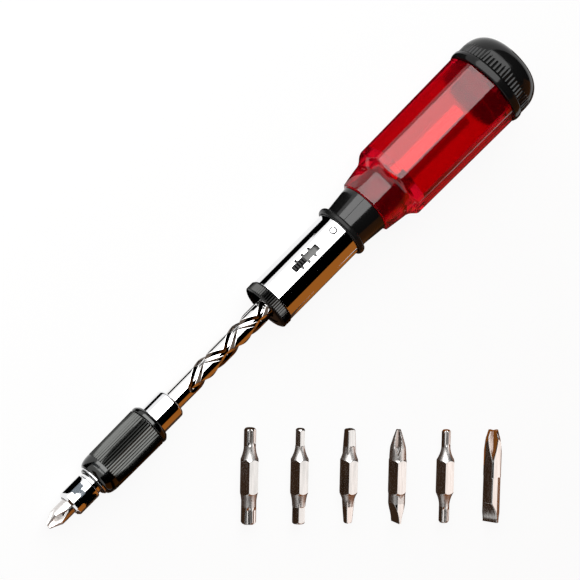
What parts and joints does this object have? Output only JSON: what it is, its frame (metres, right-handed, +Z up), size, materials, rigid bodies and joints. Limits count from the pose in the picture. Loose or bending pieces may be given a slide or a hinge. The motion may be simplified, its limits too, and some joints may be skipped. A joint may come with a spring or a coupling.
{
  "type": "multi-bit screwdriver",
  "caption": "Push-drive ratchet screwdriver with a crossing-spiral spindle, a knurled quick-release chuck, a clear red eight-sided grip with a storage cap and loose double-ended bits.",
  "frame": {"origin": "on the table under the centre of the box round the driver and its loose bits", "axes": "+X from the tip of the bit towards the end cap, seen from above; +Z up from the table; +Y to the side away from the loose bits"},
  "size_m": [0.2372, 0.1578, 0.0326],
  "materials": {
    "bit_steel": "satin hardened steel",
    "loose_bit_steel": "satin hardened steel",
    "holder_chrome": "polished",
    "clip_chrome": "polished",
    "chuck_chrome": "polished",
    "spindle_chrome": "polished",
    "tube_chrome": "polished",
    "pin_chrome": "polished",
    "slide_steel": "satin",
    "inner_steel": "turned",
    "spring_steel": "drawn wire",
    "magnet": "plated magnet",
    "nut_brass": "turned",
    "collar_black": "black oxide, fine straight knurl",
    "collar_rear_black": "black oxide, smooth",
    "lock_ring_black": "black oxide, fine straight knurl",
    "button_black": "ribbed",
    "neck_black": "polished",
    "seat_black": "moulded",
    "ring_rubber": "smooth",
    "gasket_rubber": "smooth",
    "grip_red": "polished, slightly clear red",
    "cap_black": "polished, ribbed band"
  },
  "bodies": {
    "handle": {"grip_handle": "grip_red", "neck_ferrule": "neck_black", "rubber_ring": "ring_rubber", "barrel_tube": "tube_chrome", "barrel_pin": "pin_chrome", "nose_bush": "inner_steel", "lock_ball": "inner_steel", "lock_ring_clip": "spring_steel", "ratchet_housing": "inner_steel", "spring_tube": "inner_steel", "spring_seat": "seat_black", "return_spring": "spring_steel", "right_pawl_spring": "spring_steel", "left_pawl_spring": "spring_steel"},
    "lock_ring": {"lock_ring": "lock_ring_black"},
    "selector": {"selector_slide": "slide_steel", "selector_button": "button_black"},
    "right_nut": {"right_drive_nut": "nut_brass"},
    "left_nut": {"left_drive_nut": "nut_brass"},
    "right_pawl": {"right_pawl": "inner_steel"},
    "left_pawl": {"left_pawl": "inner_steel"},
    "follower": {"spring_follower": "inner_steel"},
    "spindle": {"spiral_spindle": "spindle_chrome", "spindle_stop": "inner_steel", "chuck_body": "chuck_chrome", "front_clip": "clip_chrome", "chuck_spring": "spring_steel", "holder_clip": "spring_steel"},
    "collar": {"chuck_collar": "collar_black", "collar_end_ring": "collar_rear_black"},
    "holder": {"bit_holder": "holder_chrome", "holder_magnet": "magnet"},
    "driver_bit": {"driver_bit": "bit_steel"},
    "gasket": {"cap_gasket": "gasket_rubber"},
    "cap": {"end_cap": "cap_black"},
    "lobed_bit_large": {"lobed_bit_large": "loose_bit_steel"},
    "hex_key_bit": {"hex_key_bit": "loose_bit_steel"},
    "square_bit": {"square_bit": "loose_bit_steel"},
    "cross_and_blade_bit": {"cross_and_blade_bit": "loose_bit_steel"},
    "lobed_bit_small": {"lobed_bit_small": "loose_bit_steel"},
    "heavy_cross_and_blade_bit": {"heavy_cross_and_blade_bit": "loose_bit_steel"}
  },
  "joints": [
    {"name": "lock_turn", "type": "hinge", "parent": "handle", "child": "lock_ring", "pos_m": [-0.00845, 0.06261, 0.01132], "axis": [0.999, 0, 0.0444], "range_deg": [0, 60]},
    {"name": "selector_shift", "type": "slide", "parent": "handle", "child": "selector", "axis": [0.999, 0, 0.0444], "range_m": [0, 0.0064]},
    {"name": "ratchet_turn", "type": "hinge", "parent": "handle", "child": "right_nut", "pos_m": [0.01004, 0.06261, 0.01214], "axis": [0.999, 0, 0.0444], "continuous": true},
    {"name": "right_pawl_lift", "type": "hinge", "parent": "handle", "child": "right_pawl", "pos_m": [0.00973, 0.06177, 0.01901], "axis": [0.999, 0, 0.0444], "range_deg": [0, 13]},
    {"name": "left_pawl_drop", "type": "hinge", "parent": "handle", "child": "left_pawl", "pos_m": [0.01867, 0.06948, 0.01168], "axis": [0.999, 0, 0.0444], "range_deg": [0, 13]},
    {"name": "push_stroke", "type": "slide", "parent": "right_nut", "child": "follower", "axis": [0.999, 0, 0.0444], "range_m": [0, 0.0425], "stiffness_N_per_m": 300, "springref_m": -0.03, "deforming": ["return_spring"]},
    {"name": "spindle_turn", "type": "hinge", "parent": "follower", "child": "spindle", "pos_m": [-0.01869, 0.06261, 0.01086], "axis": [0.999, 0, 0.0444], "range_deg": [0, 450.1]},
    {"name": "left_nut_turn", "type": "hinge", "parent": "right_nut", "child": "left_nut", "pos_m": [0.01863, 0.06261, 0.01252], "axis": [0.999, 0, 0.0444], "range_deg": [0, 900.2]},
    {"name": "collar_pull", "type": "slide", "parent": "spindle", "child": "collar", "axis": [0.999, 0, 0.0444], "range_m": [0, 0.0035], "stiffness_N_per_m": 900, "springref_m": -0.004, "deforming": ["chuck_spring"]},
    {"name": "holder_pull", "type": "slide", "parent": "spindle", "child": "holder", "axis": [-0.999, 0, -0.0444], "range_m": [0, 0.025], "deforming": ["holder_clip"]},
    {"name": "bit_pull", "type": "slide", "parent": "holder", "child": "driver_bit", "axis": [-0.999, 0, -0.0444], "range_m": [0, 0.026]},
    {"name": "cap_lift", "type": "slide", "parent": "handle", "child": "gasket", "axis": [0.999, 0, 0.0444], "range_m": [0, 0.0091]},
    {"name": "cap_unscrew", "type": "hinge", "parent": "gasket", "child": "cap", "pos_m": [0.10729, 0.06261, 0.01647], "axis": [0.999, 0, 0.0444], "range_deg": [0, 1080]},
    {"name": "lobed_bit_large_lift", "type": "slide", "parent": "handle", "child": "lobed_bit_large", "axis": [0, 0, 1], "range_m": [0, 0.03]},
    {"name": "hex_key_bit_lift", "type": "slide", "parent": "handle", "child": "hex_key_bit", "axis": [0, 0, 1], "range_m": [0, 0.03]},
    {"name": "square_bit_lift", "type": "slide", "parent": "handle", "child": "square_bit", "axis": [0, 0, 1], "range_m": [0, 0.03]},
    {"name": "cross_and_blade_bit_lift", "type": "slide", "parent": "handle", "child": "cross_and_blade_bit", "axis": [0, 0, 1], "range_m": [0, 0.03]},
    {"name": "lobed_bit_small_lift", "type": "slide", "parent": "handle", "child": "lobed_bit_small", "axis": [0, 0, 1], "range_m": [0, 0.03]},
    {"name": "heavy_cross_and_blade_bit_lift", "type": "slide", "parent": "handle", "child": "heavy_cross_and_blade_bit", "axis": [0, 0, 1], "range_m": [0, 0.03]}
  ],
  "couplings": [
    {"joint": "spindle_turn", "follows": "push_stroke", "rad_per_m": 184.8},
    {"joint": "left_nut_turn", "follows": "push_stroke", "rad_per_m": 369.6},
    {"joint": "cap_lift", "follows": "cap_unscrew", "m_per_rad": 0.00047746}
  ]
}
